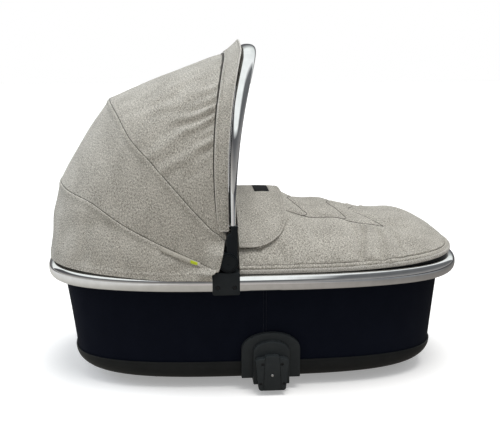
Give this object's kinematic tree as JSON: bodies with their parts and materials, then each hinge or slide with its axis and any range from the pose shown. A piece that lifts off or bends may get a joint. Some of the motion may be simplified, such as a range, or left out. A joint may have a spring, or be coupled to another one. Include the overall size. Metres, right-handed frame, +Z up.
{
  "type": "carrycot",
  "caption": "Fabric carrycot on a moulded tray, with a metal rim rail, folding hood on an arched carry handle, padded apron with wind flap, and latching side adapters.",
  "frame": {"origin": "on the floor under the middle of the carrycot, standing on its two runners", "axes": "+X towards the foot end, +Y towards the left side, +Z up"},
  "size_m": [0.85, 0.4634, 0.678],
  "materials": {
    "chrome": "polished",
    "steel": "turned",
    "dark_steel": "blackened",
    "black_plastic": "fine moulded grain",
    "satin_black": "satin",
    "navy_fabric": "smooth woven polyester",
    "melange_fabric": "flecked plain weave",
    "black_fabric": "plain woven patch",
    "lining_fabric": "soft knit",
    "white_cotton": "quilted cotton",
    "hardboard": "pressed board",
    "ribbon": "woven tape"
  },
  "bodies": {
    "root": {"rail_foot": "chrome", "rail_head": "chrome", "rim": "black_plastic", "base_tray": "black_plastic", "tub_wall": "navy_fabric", "liner": "lining_fabric", "floor_board": "hardboard", "mattress": "white_cotton", "apron": "melange_fabric", "hinge_block_right": "black_plastic", "hinge_block_left": "black_plastic", "hinge_pin_right": "steel", "hinge_pin_left": "steel", "block_screw_head_right": "dark_steel", "block_screw_foot_right": "dark_steel", "block_screw_head_left": "dark_steel", "block_screw_foot_left": "dark_steel", "adapter_housing_right": "black_plastic", "adapter_housing_left": "black_plastic", "adapter_plug_right": "black_plastic", "adapter_plug_left": "black_plastic", "latch_spring_right": "steel", "latch_spring_left": "steel", "canopy_rear": "melange_fabric"},
    "rear_bow": {"bow_rear": "black_plastic", "canopy_middle": "melange_fabric", "seam_tag": "ribbon"},
    "front_bow": {"bow_front": "black_plastic", "canopy_front": "melange_fabric"},
    "handle": {"handle_arch": "chrome", "arch_strip": "black_plastic", "visor_band": "melange_fabric", "arch_leg_right": "black_plastic", "arch_leg_left": "black_plastic", "button_spring_right": "steel", "button_spring_left": "steel"},
    "flap": {"wind_flap": "melange_fabric", "label_patch": "black_fabric"},
    "button_right": {"release_button_right": "satin_black"},
    "button_left": {"release_button_left": "satin_black"},
    "latch_right": {"latch_pin_right": "steel"},
    "latch_left": {"latch_pin_left": "steel"}
  },
  "joints": [
    {"name": "rear_bow_fold", "type": "hinge", "parent": "root", "child": "rear_bow", "pos_m": [-0.0651, 0, 0.2705], "axis": [0, -1, 0], "range_deg": [0, 12.25], "deforming": ["canopy_rear"]},
    {"name": "front_bow_fold", "type": "hinge", "parent": "rear_bow", "child": "front_bow", "pos_m": [-0.0651, 0, 0.2705], "axis": [0, -1, 0], "range_deg": [0, 24.5], "deforming": ["canopy_middle"]},
    {"name": "handle_fold", "type": "hinge", "parent": "front_bow", "child": "handle", "pos_m": [-0.0651, 0, 0.2705], "axis": [0, -1, 0], "range_deg": [0, 35], "deforming": ["canopy_front"]},
    {"name": "flap_lift", "type": "hinge", "parent": "root", "child": "flap", "pos_m": [-0.043, 0, 0.3679], "axis": [0, -1, 0], "range_deg": [0, 80]},
    {"name": "button_press_right", "type": "slide", "parent": "handle", "child": "button_right", "axis": [0, 1, 0], "range_m": [0, 0.003], "stiffness_N_per_m": 500, "springref_m": -0.002, "deforming": ["button_spring_right"]},
    {"name": "button_press_left", "type": "slide", "parent": "handle", "child": "button_left", "axis": [0, -1, 0], "range_m": [0, 0.003], "stiffness_N_per_m": 500, "springref_m": -0.002, "deforming": ["button_spring_left"]},
    {"name": "latch_press_right", "type": "slide", "parent": "root", "child": "latch_right", "axis": [0, 1, 0], "range_m": [0, 0.004], "stiffness_N_per_m": 500, "springref_m": -0.002, "deforming": ["latch_spring_right"]},
    {"name": "latch_press_left", "type": "slide", "parent": "root", "child": "latch_left", "axis": [0, -1, 0], "range_m": [0, 0.004], "stiffness_N_per_m": 500, "springref_m": -0.002, "deforming": ["latch_spring_left"]}
  ],
  "couplings": [
    {"joint": "front_bow_fold", "follows": "handle_fold", "ratio": 0.7},
    {"joint": "rear_bow_fold", "follows": "handle_fold", "ratio": 0.35}
  ]
}
